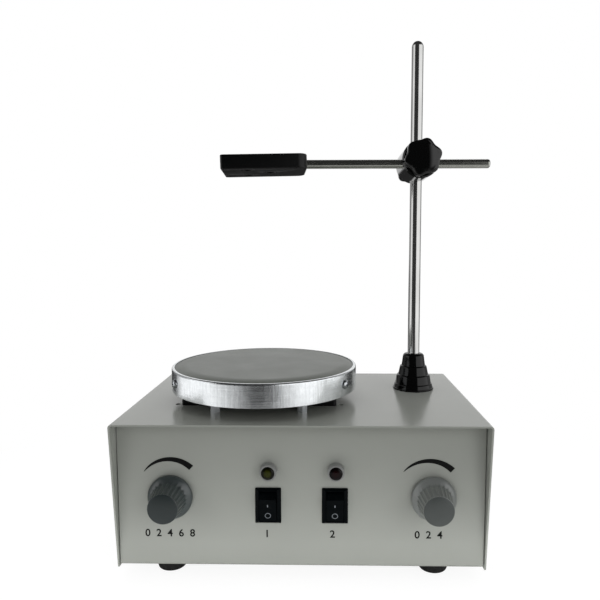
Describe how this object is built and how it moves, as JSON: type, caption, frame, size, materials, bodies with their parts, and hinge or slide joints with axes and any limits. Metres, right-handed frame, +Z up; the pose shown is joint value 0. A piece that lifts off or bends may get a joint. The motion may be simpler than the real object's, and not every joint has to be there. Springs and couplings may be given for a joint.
{
  "type": "magnetic_stirrer",
  "caption": "Heated magnetic stirrer: folded sheet housing with dials, rocker switches and lamps, a round hot plate, and a rod with a sliding clamp, arm and holder plate.",
  "frame": {"origin": "Middle of the footprint of the part's outermost points, on the plane that the feet stand on", "axes": "X to the right seen from the control panel, Y to the back, Z up along the support rod"},
  "size_m": [0.231, 0.1534, 0.3322],
  "materials": {
    "housing_paint": "satin",
    "bright_screw": "gloss",
    "foot_rubber": "matte",
    "zinc_steel": "satin",
    "plate_coating": "satin",
    "rim_aluminium": "brushed",
    "heater_metal": "matte",
    "mica": "satin",
    "fibre": "matte",
    "shield_steel": "satin",
    "block_plastic": "matte",
    "motor_steel": "satin",
    "rod_steel": "polished",
    "white_plastic": "satin",
    "magnet": "satin",
    "brass": "satin",
    "sink_aluminium": "satin",
    "knob_plastic": "satin",
    "switch_plastic": "gloss",
    "collar_plastic": "satin",
    "amber_lens": "gloss",
    "red_lens": "gloss",
    "board": "satin",
    "chip_plastic": "matte",
    "capacitor_plastic": "satin",
    "terminal_plastic": "satin",
    "wire_jacket": "satin",
    "thin_wire_jacket": "satin",
    "black_plastic": "satin",
    "fuse_glass": "gloss",
    "boot_plastic": "gloss",
    "clamp_plastic": "gloss",
    "holder_plastic": "satin"
  },
  "bodies": {
    "housing": {"chassis": "housing_paint", "top_cover": "housing_paint", "cover_screws": "bright_screw", "rubber_feet": "foot_rubber", "foot_screws": "zinc_steel", "m3_nuts": "zinc_steel", "hot_plate": "plate_coating", "plate_rim": "rim_aluminium", "rim_screws": "bright_screw", "heater_element": "heater_metal", "mica_sheets": "mica", "insulation_pad": "fibre", "temperature_sensor": "zinc_steel", "heat_shield": "shield_steel", "plate_posts": "bright_screw", "lead_grommet": "foot_rubber", "insulating_block": "block_plastic", "drive_screws": "zinc_steel", "motor_bracket": "zinc_steel", "motor_case": "motor_steel", "dial_pots": "motor_steel", "pot_nuts": "brass", "switch_cases": "switch_plastic", "switch_terminals": "brass", "lamp_collars": "collar_plastic", "heat_lamp_lens": "amber_lens", "power_lamp_lens": "red_lens", "control_board": "board", "board_posts": "white_plastic", "heat_sinks": "sink_aluminium", "triacs": "chip_plastic", "capacitors": "capacitor_plastic", "board_connectors": "terminal_plastic", "power_wiring": "wire_jacket", "panel_wiring": "thin_wire_jacket", "mains_inlet": "black_plastic", "inlet_pins": "brass", "inlet_screws": "bright_screw", "fuse_holder": "black_plastic", "glass_fuse": "fuse_glass", "rod_nuts": "zinc_steel", "rod_boot": "boot_plastic"},
    "rotor": {"motor_shaft": "rod_steel", "magnet_holder": "white_plastic", "drive_magnets": "magnet"},
    "temperature_dial": {"temperature_knob": "knob_plastic", "temperature_shaft": "sink_aluminium"},
    "speed_dial": {"speed_knob": "knob_plastic", "speed_shaft": "sink_aluminium"},
    "heat_switch_rocker": {"heat_rocker": "switch_plastic"},
    "power_switch_rocker": {"power_rocker": "switch_plastic"},
    "fuse_carrier": {"fuse_cap": "black_plastic"},
    "rod": {"support_rod": "rod_steel"},
    "clamp": {"clamp_body": "clamp_plastic"},
    "front_screw": {"front_clamp_screw": "zinc_steel"},
    "front_knob": {"front_clamp_knob": "clamp_plastic"},
    "rear_screw": {"rear_clamp_screw": "zinc_steel"},
    "rear_knob": {"rear_clamp_knob": "clamp_plastic"},
    "arm": {"arm_rod": "rod_steel"},
    "holder": {"holder_plate": "holder_plastic"}
  },
  "joints": [
    {"name": "stirrer_spin", "type": "hinge", "parent": "housing", "child": "rotor", "pos_m": [-0.03175, -0.0044, 0.1002], "axis": [0, 0, 1], "continuous": true},
    {"name": "temperature_turn", "type": "hinge", "parent": "housing", "child": "temperature_dial", "pos_m": [-0.08135, -0.0677, 0.0511], "axis": [0, 1, 0], "range_deg": [0, 300]},
    {"name": "speed_turn", "type": "hinge", "parent": "housing", "child": "speed_dial", "pos_m": [0.07045, -0.0677, 0.0511], "axis": [0, 1, 0], "range_deg": [0, 300]},
    {"name": "heat_switch_press", "type": "hinge", "parent": "housing", "child": "heat_switch_rocker", "pos_m": [-0.02475, -0.0563, 0.046], "axis": [-1, 0, 0], "range_deg": [0, 30]},
    {"name": "power_switch_press", "type": "hinge", "parent": "housing", "child": "power_switch_rocker", "pos_m": [0.01385, -0.0563, 0.046], "axis": [-1, 0, 0], "range_deg": [0, 30]},
    {"name": "fuse_cap_twist", "type": "hinge", "parent": "housing", "child": "fuse_carrier", "pos_m": [0.00805, 0.0707, 0.046], "axis": [0, 1, 0], "range_deg": [0, 60]},
    {"name": "rod_swivel", "type": "hinge", "parent": "housing", "child": "rod", "pos_m": [0.06995, 0.0208, 0.0962], "axis": [0, 0, 1], "range_deg": [-180, 180]},
    {"name": "clamp_height", "type": "slide", "parent": "rod", "child": "clamp", "axis": [0, 0, 1], "range_m": [-0.105, 0.065]},
    {"name": "arm_reach", "type": "slide", "parent": "clamp", "child": "arm", "axis": [1, 0, 0], "range_m": [-0.03, 0.055]},
    {"name": "holder_tilt", "type": "hinge", "parent": "arm", "child": "holder", "pos_m": [-0.00475, 0.0048, 0.2491], "axis": [1, 0, 0], "range_deg": [-180, 180]},
    {"name": "front_screw_travel", "type": "slide", "parent": "clamp", "child": "front_screw", "axis": [0, 1, 0], "range_m": [-0.0017, 0]},
    {"name": "front_knob_turn", "type": "hinge", "parent": "front_screw", "child": "front_knob", "pos_m": [0.06995, -0.0072, 0.2515], "axis": [0, 1, 0], "range_deg": [-720, 0]},
    {"name": "rear_screw_travel", "type": "slide", "parent": "clamp", "child": "rear_screw", "axis": [0, -1, 0], "range_m": [-0.0017, 0]},
    {"name": "rear_knob_turn", "type": "hinge", "parent": "rear_screw", "child": "rear_knob", "pos_m": [0.06995, 0.0388, 0.2515], "axis": [0, -1, 0], "range_deg": [-720, 0]}
  ],
  "couplings": [
    {"joint": "front_screw_travel", "follows": "front_knob_turn", "m_per_rad": 0.00012732},
    {"joint": "rear_screw_travel", "follows": "rear_knob_turn", "m_per_rad": 0.00012732}
  ]
}
